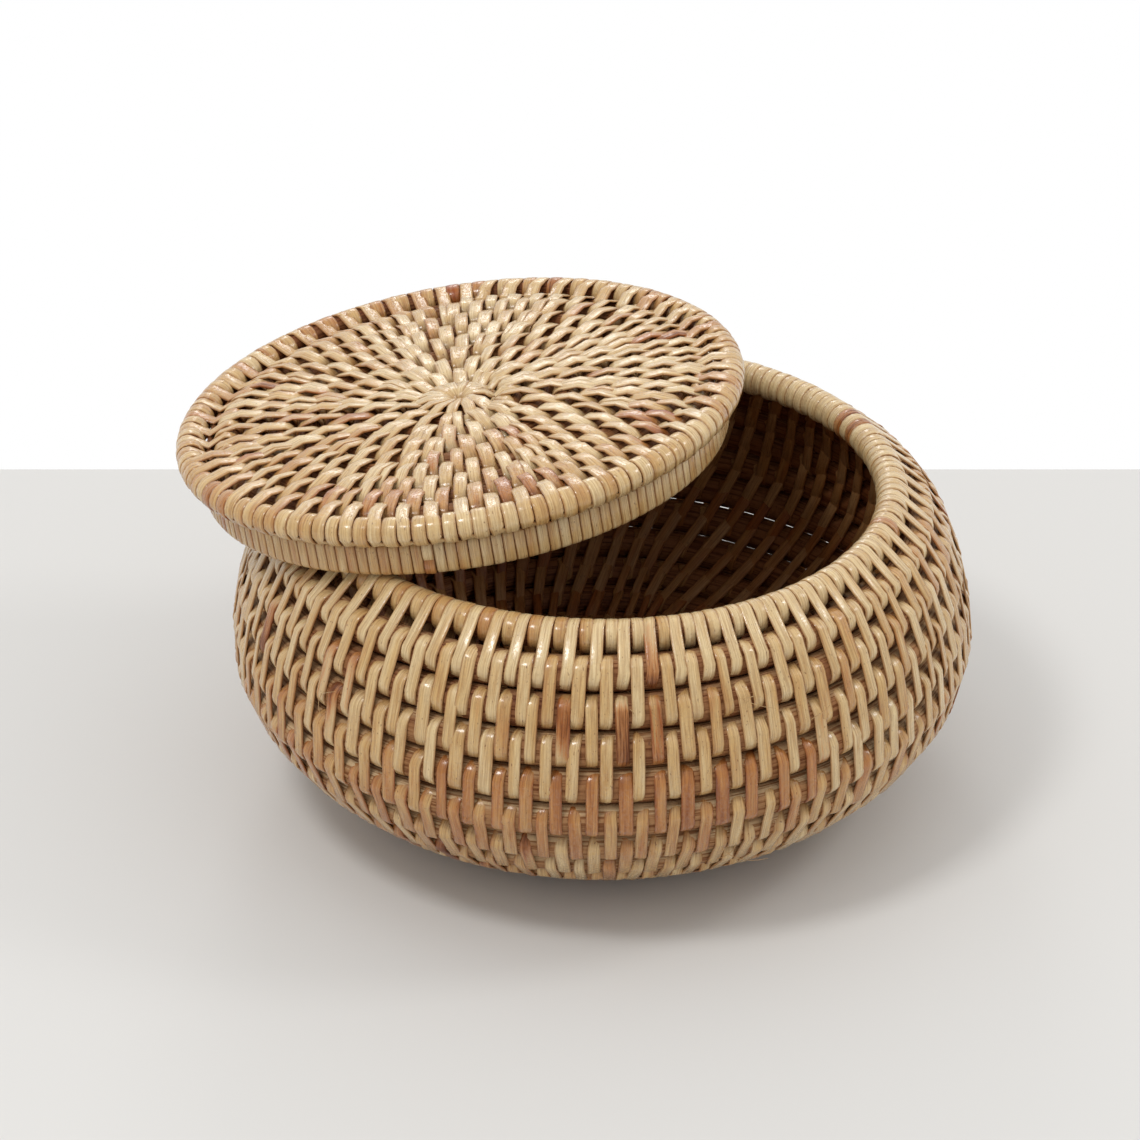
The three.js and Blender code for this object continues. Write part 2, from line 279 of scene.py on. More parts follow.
def make_finish(name, ramp, fibres, lines, line_colour, stain_colour, roughness, specular, coat, bump):
    """A rattan surface. ramp runs over the tone, fibres is (across, along, blotches along), and lines says
    where the dark lines between the fibres start and end and how strong they are."""
    material = bpy.data.materials.new(name)
    material.use_nodes = True
    tree = material.node_tree
    shader = tree.nodes["Principled BSDF"]
    place = put(tree, "ShaderNodeAttribute", attribute_name="place").outputs["Vector"]
    look = put(tree, "ShaderNodeAttribute", attribute_name="look").outputs["Vector"]
    tone, stain, groove_shade = put(tree, "ShaderNodeSeparateXYZ", {0: look}).outputs
    across = put(tree, "ShaderNodeSeparateXYZ", {0: place}).outputs[1]
    fibres_across, fibres_along, blotches_along = fibres
    cells = put(tree, "ShaderNodeGroup", {
        "Place": place, "Fibres across": fibres_across, "Fibres along": fibres_along,
        "Blotches along": blotches_along}, node_tree=grain)
    fibre, blotch, speck, pit = (cells.outputs[title] for title in ("Fibre", "Blotch", "Speck", "Pit"))
    mixed = lambda kind, share, a, b: put(
        tree, "ShaderNodeMix", {0: share, 6: a, 7: b}, data_type="RGBA", blend_type=kind).outputs[2]

    spread = worked(tree, "MULTIPLY", worked(tree, "SUBTRACT", blotch, 0.5), BLOTCH_SPREAD)
    colours = put(tree, "ShaderNodeValToRGB", {0: worked(tree, "ADD", tone, spread)})
    stops = colours.color_ramp.elements
    while len(stops) < len(ramp):
        stops.new(0.5)
    for stop, (spot, colour) in zip(stops, ramp):
        stop.position, stop.color = spot, (*colour, 1)
    line_start, line_end, line_share = lines
    dark = ranged(tree, fibre, line_start, line_end, line_share, 0.0)
    colour = mixed("MULTIPLY", dark, colours.outputs[0], (*line_colour, 1))
    # Partly the cane's browner edges, partly painted shade where the strip rounds off.
    edge_brown_and_shade = ranged(tree, worked(tree, "ABSOLUTE", across), EDGE_START, 1.0, 0.0, EDGE_SHARE)
    colour = mixed("MULTIPLY", edge_brown_and_shade, colour, EDGE_BROWN_AND_SHADE_COLOUR)
    colour = mixed("MIX", worked(tree, "MULTIPLY", speck, SPECK_SHARE), colour, (*stain_colour, 1))
    streak = worked(tree, "ADD", worked(tree, "MULTIPLY", fibre, FIBRE_STREAK),
                    worked(tree, "MULTIPLY", blotch, BLOTCH_STREAK))
    stained = worked(tree, "ADD", stain, streak)
    colour = mixed("MULTIPLY", ranged(tree, stained, RUST_START, PATCH_START), colour, RUST_COLOUR)
    patch = ranged(tree, stained, PATCH_START, PATCH_END)
    colour = mixed("MIX", patch, colour, (*stain_colour, 1))
    # Painted shade in the grooves and on the rods' inner side.
    colour = mixed("MULTIPLY", worked(tree, "MULTIPLY", groove_shade, GROOVE_SHADE_SHARE), colour, GROOVE_SHADE_COLOUR)
    tree.links.new(colour, shader.inputs["Base Color"])

    rough = ranged(tree, fibre, DEEP_FIBRE, HIGH_FIBRE, roughness + ROUGHER, roughness - SMOOTHER)
    tree.links.new(rough, shader.inputs["Roughness"])
    relief = worked(tree, "ADD", fibre, worked(tree, "MULTIPLY", pit, PIT_SHARE))
    height = put(tree, "ShaderNodeBump", {"Strength": bump, "Distance": GRAIN_DEPTH * MM, "Height": relief})
    tree.links.new(height.outputs[0], shader.inputs["Normal"])
    shader.inputs["Specular IOR Level"].default_value = specular
    if coat:
        varnish = ranged(tree, worked(tree, "MAXIMUM", patch, groove_shade), 0.0, 1.0, coat, 0.0)
        crackle = ranged(tree, pit, CRACKLE_START, CRACKLE_END, THINNEST_COAT, 1.0)
        tree.links.new(worked(tree, "MULTIPLY", varnish, crackle), shader.inputs["Coat Weight"])
        shader.inputs["Coat Roughness"].default_value = COAT_ROUGHNESS
        shader.inputs["Coat IOR"].default_value = COAT_IOR
    return material


rod_finish = make_finish(
    "peeled rattan rod",
    ramp=[(0.0, (0.24, 0.1, 0.04)), (0.5, (0.45, 0.28, 0.14)), (1.0, (0.62, 0.47, 0.28))],
    fibres=(6.0, 40.0, 25.0), lines=(0.41, 0.53, 0.95), line_colour=(0.46, 0.3, 0.19),
    stain_colour=(0.12, 0.04, 0.02), roughness=0.55, specular=0.2, coat=0.0, bump=0.9)

half_wall = BOWL_THICKNESS / 2
foot, belly = (FOOT_RADIUS, half_wall), (BELLY_RADIUS - half_wall, BELLY_HEIGHT)
rim_middle = np.array([RIM_RADIUS, RIM_HEIGHT], float)
flat_base = np.linspace([BASE_KNOT_RADIUS + SEAT_GAP, half_wall], foot, FLAT_POINTS)
wall_line = np.vstack([
    flat_base,
    quarter_swell(foot, belly, LOWER_FULLNESS)[1:],
    quarter_swell(rim_middle, belly, UPPER_FULLNESS)[::-1][1:],
])
wall_length = measured(wall_line)[1][-1] - RIM_ROLL / 2 - SEAT_GAP - FACET_SAG
bowl_lay, bowl_courses = make_coil(wall_line, wall_length, BOWL_COURSE, BOWL_THICKNESS, BASE_KNOT_HOLE)
at_bowl = lambda points: np.maximum(points, (-np.inf, -np.inf, 0))  # the base is pressed flat on the floor

wall_splices = [BASE_END + i * WALL_ROD_TURNS for i in range(WALL_RODS)]
splices = [COIL_TAIL] + wall_splices + [bowl_courses + 1 - COIL_TAIL]
for i, (start, end) in enumerate(zip(splices, splices[1:])):
    name = f"wall_rod_{i}" if i else "base_rod"
    turns = np.linspace(start, end, round((end - start) * ROD_STEPS))
    rod = add_rod(name, bowl_lay, turns, ROD_SWELL, "bowl", at_bowl, i, ROD_TONES[i], 1.0)
    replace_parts(rod, f"wall_coil_{i}" if i else "base_coil")


# The base's knot: the rod's first end, steamed soft and curled up tight into a small ring. The first turn
# of the rod lies round it, and the first stitches go through its hole.
KNOT_STEPS = 48
KNOT_GRAIN = 0.04  # metres of grain round the knot


def add_ring(name, lay, steps, length, body, frame_of, seed):
    """A rod bent to a closed ring, with so many steps and metres of grain round it."""
    turns = np.linspace(0, 1, steps, endpoint=False)
    flat, _ = over(lay, 90 - SIDE_ANGLES)
    points, faces = skin(np.array([stand(flat, 2 * math.pi * turn) for turn in turns]), closed=True)
    place = at_each(turns[:, None] * length, SIDE_ANGLES / SIDE_SPREAD, seed)
    return add_piece(name, frame_of(points * MM), faces, place, np.zeros_like(place), rod_finish, body)


def add_knot(name, lay, body, frame_of, node):
    """The rod's curled first end, as a ring with a small hole."""
    start = lay(0)
    curl = start._replace(middle=start.middle + start.along * CANE / 2, half=start.half + CANE / 2)
    knot = add_ring(name, curl, KNOT_STEPS, KNOT_GRAIN, body, frame_of, 0.5)
    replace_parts(knot, node)


add_knot("base_knot_ring", bowl_lay, "bowl", at_bowl, "base_knot")


# The bowl's lacing: split rattan cane about 3 mm wide, with its hard shiny skin outwards. Each stitch comes
# out above its own course, lies over that course and the one below it, and tucks in between the stitches
# there. Inside, the cane slants up to the next stitch. One strand laces each course.
STITCH_WIDTH = 3.3
STITCH_SHARE = 0.5  # at most this much of the room to the next stitch
BASE_STITCH = 5.3  # wanted distance between the stitches of a course in the base
WALL_STITCHES = 77  # stitches in a course of the wall, however wide it is
BASE_PETALS = 16  # stitches in the base's first turn
PETAL_START = 0.24  # turn of the first stitch; the first turn's stitches go through the knot's hole
LACE_END = bowl_courses + 0.5  # the last half turn is too thin to lace by itself
OWN_ANGLES = (140, 112, 86, 64, 44, 24, 7)
BACK_ANGLE = 176
BACK_SHARES = (0.3, 0.8)  # how far towards the next stitch the cane is behind the lower rod and its own
OWN_WIDTHS = (0.82, 0.88, 0.94, 0.98, 1.0, 1.0, 1.0)
LOWER_WIDTHS = (1.0, 1.0, 0.99, 0.96, 0.88, 0.8, 0.74)
PETAL_WIDTHS = (1.0, 0.96, 0.88, 0.76, 0.62, 0.5, 0.4)  # the first turn's stitches narrow towards the hole
PETAL_SHARE = 0.74  # and lie closer together
LEAN_SHARES = (0, 0, 0, 0, 0.05, 0.18, 0.34, 0.5, 0.66, 0.82, 0.95, 1, 1, 1, 1)
SWAY = (0.26, 0.18, 0.1, 0.04, 0.01, 0, 0, 0, 0, 0, -0.01, -0.05, -0.12, -0.2, -0.28)  # of the room
# Painted shade: how much the cane is darkened at each point, where it dips into the grooves between the rods.
GROOVE_SHADE = (1, 1, 0.8, 0.35, 0.08, 0, 0, 0, 0, 0, 0.12, 0.45, 0.9, 1, 1)
FOOT_LIFTS = (0.5, 0.8, 1, 1, 0.7, 0.3, 0)
STRIP = 0.62  # thickness of the strip itself; the rest is play
CANE_SECTION = np.array([
    (1, 0.35), (0.96, 0.78), (0.66, 0.95), (0, 1), (-0.66, 0.95), (-0.96, 0.78), (-1, 0.35),
    (-0.94, 0), (0.94, 0)])
WIDTH_PLAY, SHIFT_PLAY, TILT_PLAY, ROLL_PLAY, MOST_ROLL = 0.07, 0.045, 0.065, 0.09, 0.15
LIFT_LEAST, LIFT_PLAY = 0.7, 0.6
EVENING = 0.45  # how far a stitch is moved from its gap's middle to keep the stitches evenly apart
WIDE_GAP = 0.95  # of the mean distance; only a gap as wide as this takes two stitches
PAIR_TOPS, PAIR_FEET = 0.28, 0.12  # half the distance between two stitches in one gap, of the mean
STAIN_POINTS = (3, 12)  # points of a stitch between which the middle of its stain lies
STAIN_LENGTH = 4.5
SHADES, SHADE_ODDS = [0.0, 0.15, 0.3, 0.5], [0.45, 0.25, 0.18, 0.12]
SHADE_PLAY, TONE_PLAY = 0.05, 0.1
STRAND_STITCHES = (10, 38)  # stitches that one length of cane makes
STAIN_LEAST = STAIN_PLAY = 0.25
BASE_COURSES = 3  # after the petals
LOW_TURNS, LOW_TONE = 11, 0.1  # the wall's lower turns are browner
BROWN_TURNS, BROWN_TONE, BROWN_PLAY = (11.93, 12.1), 0.72, 0.06  # one brown length of cane in front
BOWL_STAINS = [(14.012, 0.52), (14.025, 0.4), (13.985, 0.36), (13.87, 0.44), (12.868, 0.48), (13.09, 0.44)]

cane_finish = make_finish(
    "varnished split cane",
    ramp=[(0.0, (0.71, 0.54, 0.29)), (0.35, (0.6, 0.385, 0.155)), (0.7, (0.47, 0.2, 0.055)),
          (1.0, (0.32, 0.105, 0.027))],
    fibres=(5.0, 110.0, 55.0), lines=(0.35, 0.6, 0.55), line_colour=(0.42, 0.24, 0.12),
    stain_colour=(0.13, 0.036, 0.009), roughness=0.36, specular=0.3, coat=1.0, bump=0.6)

# How a lacing is laid: on which side of the rods, how wide and with what share of its room, how far the
# lower ends are raised over their neighbours and the middles arched, and the widths along the lower half.
Lacing = namedtuple("Lacing", "side width share lift arch lower_widths")
bowl_lacing = Lacing(1, STITCH_WIDTH, STITCH_SHARE, 0.0, 0.0, LOWER_WIDTHS)

# A run of cane: its line and the way that its skin faces in 3-D, its half width, and its look at each point.
Run = namedtuple("Run", "line face half look")


def stitch(own, lower, angle, lean, following, half, tone, stain, lacing, roll, waist=None, on_rim=False):
    """One stitch over its own rod and the lower one, and the slanting stretch to the next stitch, behind.
    waist is a rod between the two that it also lies over."""
    own, lower = (lay._replace(out=lay.out * lacing.side) for lay in (own, lower))
    top, top_face = over(own, OWN_ANGLES)
    end, end_face = over(lower, [-a for a in reversed(OWN_ANGLES)])
    end = end + lacing.lift * np.array(FOOT_LIFTS)[:, None] * end_face
    if waist is None:
        middle = (top[-1:] + end[:1]) / 2 + lacing.arch * (top_face[-1:] + end_face[:1]) / 2
    else:
        middle = over(waist._replace(out=waist.out * lacing.side), [0])[0]
    back_low, low_face = over(lower, [-BACK_ANGLE])
    back_high, high_face = over(own, [BACK_ANGLE])
    flat = np.vstack([top, middle, end, back_low, back_high])
    face = np.vstack([top_face, top_face[-1:], end_face, low_face, high_face])
    own_part = np.arange(len(flat)) < len(OWN_ANGLES)
    sway = np.where(own_part[:-2] & on_rim, 0, SWAY) * (angle - following)
    last = angle + lean
    behind = last + (following - last) * np.array(BACK_SHARES)
    angles = np.concatenate([angle + lean * np.array(LEAN_SHARES) + sway, behind])
    widths = OWN_WIDTHS + (1.0,) + lacing.lower_widths + (1.0, 1.0)
    widths = np.where(own_part & on_rim, 1, widths) * half
    # Painted shade: the ends in the grooves and the stretch behind the rods are darkened; a rim's own part
    # lies outside and is not.
    depth = np.where(own_part & on_rim, 0, GROOVE_SHADE + (1.0, 1.0))
    sideways = np.stack([-np.sin(angles), np.cos(angles), np.zeros_like(angles)], -1)
    from_stain = np.arange(len(flat)) - draw.uniform(*STAIN_POINTS)
    spot = stain * np.exp(-(from_stain / STAIN_LENGTH) ** 2)
    look = np.stack([np.full(len(flat), tone), spot, depth], -1)
    return Run(stand(flat, angles), stand(face, angles) + sideways * roll, widths, look)


def add_cane(name, runs, body, frame_of, thick=STRIP):
    """A strand of cane along these runs, one after the other."""
    line, face, half, look = (np.concatenate(parts) for parts in zip(*runs))
    seeds = np.concatenate([np.full(len(run.line), draw.rand()) for run in runs])
    way = np.gradient(line, axis=0)
    way /= np.linalg.norm(way, axis=1)[:, None]
    wide = np.cross(face, way)
    wide /= np.linalg.norm(wide, axis=1)[:, None]
    up = np.cross(way, wide)
    rings = (line[:, None] + wide[:, None] * (CANE_SECTION[:, 0] * half[:, None])[..., None]
             + up[:, None] * (CANE_SECTION[:, 1] * thick)[None, :, None])
    points, faces = skin(rings)
    walked = measured(line)[1] * MM
    place = at_each(walked[:, None], CANE_SECTION[:, 0], seeds[:, None])
    looks = np.repeat(look, len(CANE_SECTION), axis=0)
    return add_piece(name, frame_of(points * MM), faces, place, looks, cane_finish, body)


def stitch_turns(lay, last, petals, swirl, wanted, most, slant):
    """The turns at which the stitches of a coil lie and how far on, in turns, their lower ends are. Each one
    passes between two stitches of the turn before. Where there is room for one more, a gap takes two."""
    turns = [PETAL_START + i / petals for i in range(petals)]
    leans = [swirl] * petals
    k, owed = 0, 0.0
    while turns[-1] < last:
        gap = (turns[k] + turns[k + 1]) / 2 + 1
        room = max(wanted / (2 * math.pi * lay(gap).middle[0]), 1 / most)
        mean = (turns[-1] - turns[k]) / (len(turns) - 1 - k)
        own = gap - slant * (turns[k + 1] - turns[k])
        own += EVENING * (turns[-1] + mean - own)
        owed = max(0, owed + (own - turns[-1]) / room - 1)
        pair = owed >= 1 and own - turns[-1] > WIDE_GAP * mean
        owed -= pair
        for way in (-1, 1) if pair else (0,):
            turns.append(own + PAIR_TOPS * way * mean)
            leans.append(gap + PAIR_FEET * way * mean - turns[-1])
        k += 1
    return np.array(turns[:-1]), np.array(leans[:-1])


def tones(count, base, spread):
    """Colours of the stitches along a strand: each length of cane has its own, mostly pale, a few brown."""
    found = []
    while len(found) < count:
        shade = base + spread * (draw.choice(SHADES, p=SHADE_ODDS) + SHADE_PLAY * draw.randn())
        found += [shade] * draw.randint(*STRAND_STITCHES)
    return np.clip(np.array(found[:count]) + TONE_PLAY * draw.randn(count), 0, 1)


def stains(count, share):
    """How stained the stitches along a strand are: most not at all."""
    return np.where(draw.rand(count) < share, STAIN_LEAST + STAIN_PLAY * draw.rand(count), 0.0)


def stain_at(stained, turns, spots):
    """Marks the stitches nearest to these turns as stained by so much."""
    for turn, amount in spots:
        stained[np.argmin(np.abs(turns - turn))] = amount


def lace(lay, turns, leans, tone, stain, lacing):
    """The stitches at these turns, as runs of cane."""
    runs = []
    for i, turn in enumerate(turns):
        step = turn - turns[i - 1] if i else turns[1] - turn
        own, lower = lay(turn), lay(turn + leans[i] - 1)
        room = 2 * math.pi * step * own.middle[0]
        petal = turn < turns[0] + 1
        width = min(lacing.width, (PETAL_SHARE if petal else lacing.share) * room)
        half = width / 2 * (1 + WIDTH_PLAY * draw.randn())
        shift, tilt = SHIFT_PLAY * step * draw.randn(), TILT_PLAY * step * draw.randn()
        laid = lacing._replace(lift=lacing.lift * (LIFT_LEAST + LIFT_PLAY * draw.rand()),
                               lower_widths=PETAL_WIDTHS if petal else lacing.lower_widths)
        roll = np.clip(ROLL_PLAY * draw.randn(), -MOST_ROLL, MOST_ROLL)
        runs.append(stitch(own, lower, angle_of(turn + shift), 2 * math.pi * (leans[i] + tilt),
                           angle_of(turn - step), half, tone[i], stain[i], laid, roll))
    return runs


def add_courses(turns, runs, name_of, body, frame_of):
    """One strand of cane for each course."""
    courses = np.floor(turns).astype(int)
    for course in range(courses.min(), courses.max() + 1):
        picked = np.flatnonzero(courses == course)[::-1]
        add_cane(name_of(course), [runs[i] for i in picked], body, frame_of)


def bowl_strand(course):
    """The name of the strand that laces a course of the bowl."""
    return f"base_lacing_{course}" if course <= BASE_COURSES else f"wall_lacing_{course - BASE_COURSES}"


bowl_turns, bowl_leans = stitch_turns(bowl_lay, LACE_END, BASE_PETALS, 0.0, BASE_STITCH, WALL_STITCHES, 0.0)
bowl_tones = tones(len(bowl_turns), base=0.18, spread=0.5)
bowl_stains = stains(len(bowl_turns), share=0.03)
bowl_tones[bowl_turns < LOW_TURNS] += LOW_TONE
stain_at(bowl_stains, bowl_turns, BOWL_STAINS)
brown_length = (bowl_turns > BROWN_TURNS[0]) & (bowl_turns < BROWN_TURNS[1])
bowl_tones[brown_length] = BROWN_TONE + BROWN_PLAY * draw.randn(brown_length.sum())
bowl_runs = lace(bowl_lay, bowl_turns, bowl_leans, bowl_tones, bowl_stains, bowl_lacing)
add_courses(bowl_turns, bowl_runs, bowl_strand, "bowl", at_bowl)


# Loose fibres: thin splinters of the cane's skin that have lifted at the edge of a stitch and stand off
# the wall, still held at one end under the lacing.
FRAYED = (14.012, 14.02, 14.065, 14.06, 13.09, 12.868, 12.87, 10.05, 10.056)  # turns where one stands off
FIBRE_POINTS = 8
FIBRE_ROOT = 0.9  # above the rod
FIBRE_LENGTH = 5
FIBRE_LIFT, FIBRE_LIFT_PLAY = 1, 1.5
FIBRE_BEND = 2.2  # radians of a sine
FIBRE_HALF, FIBRE_TIP = 0.12, 0.05
FIBRE_LOOK = (0.3, 0.1, 0)

for i, turn in enumerate(FRAYED):
    lay, far = bowl_lay(turn), np.linspace(0, 1, FIBRE_POINTS)[:, None]
    rise, aside = FIBRE_LENGTH * draw.randn(), FIBRE_LENGTH * draw.randn()
    off = FIBRE_LIFT + FIBRE_LIFT_PLAY * draw.rand()
    above = lay.depth + FIBRE_ROOT + off * np.sin(FIBRE_BEND * far)
    flat = lay.middle + lay.out * above + lay.along * rise * far
    angles = angle_of(turn) + aside * far[:, 0] ** 1.5 / lay.middle[0]
    fibre = Run(stand(flat, angles), stand(np.tile(lay.out, (FIBRE_POINTS, 1)), angles),
                np.linspace(FIBRE_HALF, FIBRE_TIP, FIBRE_POINTS), np.tile(FIBRE_LOOK, (FIBRE_POINTS, 1)))
    add_cane(f"loose_fibre_{i + 1}", [fibre], "bowl", at_bowl, FIBRE_HALF)


# The mouth's rim: a round rod bent to a level ring on the last course. Cane is wound close round it, and
# every second turn of the cane goes on down over the course below and ties the rim on.
RIM_SPREAD = 1.02  # the wraps lie edge to edge round the outside and crowd a little inside
RING_STEPS = 160
WRAP_ANGLES = tuple(range(170, -171, -20))
WRAP_PLAY, WRAP_LIFT, WRAP_ROLL = 0.03, 0.12, 0.05
BROWN_WRAPS = 0.35  # the short wraps left of the front are browner by this much


def add_ring_rod(name, lay, body, frame_of, seed):
    """A rod bent to a closed ring."""
    return add_ring(name, lay, RING_STEPS, 2 * math.pi * lay.middle[0] * MM, body, frame_of, seed)


def wrap(lay, angle, half, tone, stain, side, angles=WRAP_ANGLES, drift=0.0, lift=0.0):
    """One turn of cane round a rod."""
    raised = lay._replace(out=lay.out * side, half=lay.half + lift, depth=lay.depth + lift)
    flat, face = over(raised, angles)
    turn = angle + drift * np.linspace(-0.5, 0.5, len(angles))
    look = np.tile([tone, stain, 0.0], (len(flat), 1))
    return Run(stand(flat, turn), stand(face, turn), np.full(len(flat), half), look)


def rim_runs(lay, gaps, last_turn, roll, lean, tone, stain, lacing):
    """The rim's cane: long stitches that go on down into the gaps between the stitches of the last course,
    and a short turn round the rod between every two. They lie evenly round the rod."""
    runs, count = [], len(gaps)
    evenly = np.arange(count) / count
    evenly += np.mean(gaps - evenly) - lean / count
    half = math.pi * roll.middle[0] * RIM_SPREAD / count / 2
    for i, (gap, at) in enumerate(zip(gaps, evenly)):
        lower = lay(gap)
        along = roll.middle - lower.middle
        along = along / np.linalg.norm(along)
        own = roll._replace(along=along, out=np.array([along[1], -along[0]]))
        wedge = lay(gap + 1) if gap + 1 < last_turn else None
        before = angle_of(at - 0.5 / count)
        short, long = 2 * i, 2 * i + 1
        runs.append(wrap(own, before, half * (1 + WRAP_PLAY * draw.randn()), tone[short], stain[short],
                         lacing.side, lift=WRAP_LIFT * draw.rand()))
        runs.append(stitch(own, lower, angle_of(at), 2 * math.pi * (gap - at), before,
                           half * (1 + WRAP_PLAY * draw.randn()), tone[long], stain[long], lacing,
                           WRAP_ROLL * draw.randn(), wedge, True))
    return runs[::-1]


def last_gaps(turns, last):
    """The middles of the gaps before each stitch of the last turn."""
    late = np.flatnonzero(turns > last - 1)
    return (turns[late] + turns[late - 1]) / 2


def round_roll(middle, thickness):
    """How the rod of a rim lies, when it is so thick with its cane."""
    half = thickness / 2 - CANE
    return Lay(np.array(middle, float), np.array([0.0, 1.0]), np.array([1.0, 0.0]), half, half)


mouth_roll = round_roll(rim_middle, RIM_ROLL)
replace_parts(add_ring_rod("mouth_rim_core", mouth_roll, "bowl", at_bowl, 9), "mouth_rim_rod")
mouth_gaps = last_gaps(bowl_turns, LACE_END)
mouth_tones = tones(2 * len(mouth_gaps), base=-0.05, spread=0.4)
mouth_tones[2 * (len(mouth_gaps) // 3):len(mouth_tones) // 2:2] += BROWN_WRAPS
mouth_runs = rim_runs(bowl_lay, mouth_gaps, splices[-1], mouth_roll, 0.0, mouth_tones,
                      stains(len(mouth_tones), share=0.03), bowl_lacing)
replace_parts(add_cane("mouth_rim_wraps", mouth_runs, "bowl", at_bowl), "mouth_rim_binding")


# The lid's plate: a thinner rod wound flat round its own curled end, in eight courses. The lid lies ajar, so
# it is made level here and then set down leaning on the mouth.
LID_THICKNESS = 11.4
LID_DROP = 2.3  # the plate's middle lies this far below the middle of the lid's rim
LID_COURSE = 7.3
LID_KNOT_RADIUS = 8.5
LID_KNOT_HOLE = 1
LID_EDGE = 68.4
PAST_EDGE = 10  # the coil's line goes on this far, so that its slope is known at the edge
LID_LINE_POINTS = 200
LID_SWELL = 0.5
LID_ROD_TONE = 0.3
LID_PLACE = Vector((-38.06093, 11.63639, 103.69125)) * MM
LID_LEAN = math.radians(8.69496)
LEAN_DIRECTION = math.radians(163)

lean_axis = Vector((-math.sin(LEAN_DIRECTION), math.cos(LEAN_DIRECTION), 0))
lid_pose = np.array(Matrix.Translation(LID_PLACE) @ Matrix.Rotation(LID_LEAN, 4, lean_axis))
at_lid = lambda points: points @ lid_pose[:3, :3].T + lid_pose[:3, 3]

lid_start = LID_KNOT_RADIUS + SEAT_GAP
lid_line = np.linspace([lid_start, -LID_DROP], [LID_EDGE + PAST_EDGE, -LID_DROP], LID_LINE_POINTS)
lid_lay, lid_courses = make_coil(lid_line, LID_EDGE - lid_start, LID_COURSE, LID_THICKNESS, LID_KNOT_HOLE)
add_knot("lid_knot_ring", lid_lay, "lid", at_lid, "lid_knot")
lid_end = lid_courses + 1 - COIL_TAIL
turns = np.linspace(COIL_TAIL, lid_end, round(lid_end * ROD_STEPS))
lid_rod = add_rod("lid_rod", lid_lay, turns, LID_SWELL, "lid", at_lid, 11, LID_ROD_TONE, 0.0)
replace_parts(lid_rod, "lid_coil")


# The lid's lacing: the same cane, a little wider, laced over the plate's upper side as the bowl's is. The
# first turn's stitches meet in the knot's hole and make a rosette with leaning petals.
LID_PETALS = 14
LID_SWIRL = 0.05  # turns by which the rosette's petals lean
LID_STITCH = 5.8
LID_STITCHES = 60
LID_SLANT = -0.05  # of the distance between two stitches
LID_STITCH_WIDTH = 3.8
LID_SHARE = 0.62
LID_LIFT = 0.55
LID_ARCH = 0.85
NO_TAPER = (1.0,) * len(OWN_ANGLES)
PALE_PETAL = 0.2  # no petal is browner than this
FRONT_SHADE, FRONT_TURN = 0.1, -0.05  # painted shade: the stitches are browner by this much round this part of each turn, the lid's front
CLEAN_TURNS = 2  # the innermost turns have no stains
LID_STAINS = [
    (7.16, 0.42), (8.15, 0.46), (8.17, 0.36), (8.184, 0.48), (7.688, 0.42), (5.7, 0.38), (8.31, 0.4)]

lid_lace_end = lid_courses + 0.5
lid_lacing = Lacing(-1, LID_STITCH_WIDTH, LID_SHARE, LID_LIFT, LID_ARCH, NO_TAPER)
lid_turns, lid_leans = stitch_turns(
    lid_lay, lid_lace_end, LID_PETALS, LID_SWIRL, LID_STITCH, LID_STITCHES, LID_SLANT)
lid_stains = stains(len(lid_turns), share=0.03) * (lid_turns > CLEAN_TURNS)
stain_at(lid_stains, lid_turns, LID_STAINS)
lid_tones = tones(len(lid_turns), base=0.0, spread=0.85)
# Painted shade on the lid's front.
lid_tones += FRONT_SHADE * np.maximum(0, np.cos(2 * math.pi * (lid_turns - FRONT_TURN)))
lid_tones[:LID_PETALS] = np.minimum(lid_tones[:LID_PETALS], PALE_PETAL)
lid_runs = lace(lid_lay, lid_turns, lid_leans, lid_tones, lid_stains, lid_lacing)
lid_strand = lambda course: f"lid_lacing_{course}" if course else "lid_rosette"
add_courses(lid_turns, lid_runs, lid_strand, "lid", at_lid)


# The lid's rim: a rod bent to a ring round the plate, wound with cane as the mouth's rim is. Every second
# turn of the cane goes on inwards over the plate's last course.
LID_ROLL = 8
LID_ROLL_RADIUS = 72.6

lid_roll = round_roll((LID_ROLL_RADIUS, 0.0), LID_ROLL)
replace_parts(add_ring_rod("lid_rim_core", lid_roll, "lid", at_lid, 12), "lid_rim_rod")
lid_gaps = last_gaps(lid_turns, lid_lace_end)
lid_rim_tones = tones(2 * len(lid_gaps), base=0.22, spread=0.4)
lid_rim_stains = stains(2 * len(lid_gaps), share=0.02)
lid_rim = rim_runs(
    lid_lay, lid_gaps, lid_end, lid_roll, LID_SLANT, lid_rim_tones, lid_rim_stains, lid_lacing)
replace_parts(add_cane("lid_rim_wraps", lid_rim, "lid", at_lid), "lid_rim_binding")


# The collar: a flat strip bent to a hoop, which stands round the plate's edge under the lid and drops into
# the mouth. It is wound all round with flat cane, close and upright, and the cane's two ends are tucked in
# side by side at one wrap.
COLLAR_RADIUS = 71.05
COLLAR_THICKNESS = 3.8
COLLAR_TOP = -4.3
COLLAR_FOOT = -14
COLLAR_WRAPS = 150
COLLAR_SPREAD = 0.95  # of the room that a wrap has
COLLAR_DRIFT = 0.006
COLLAR_ANGLES = (170, 135, 100, 80, 45, 10, -10, -45, -80, -100, -135, -170)
BROWN_SIDE, BROWN_SIDE_TONE = (1.6, 4.6), 0.24  # the wraps between these angles, in radians, are browner
COLLAR_JOIN = 110  # the wrap at which the cane's two ends are tucked in
END_ANGLES = (120, 100, 80, 45, 10, -10, -45, -80, -100)

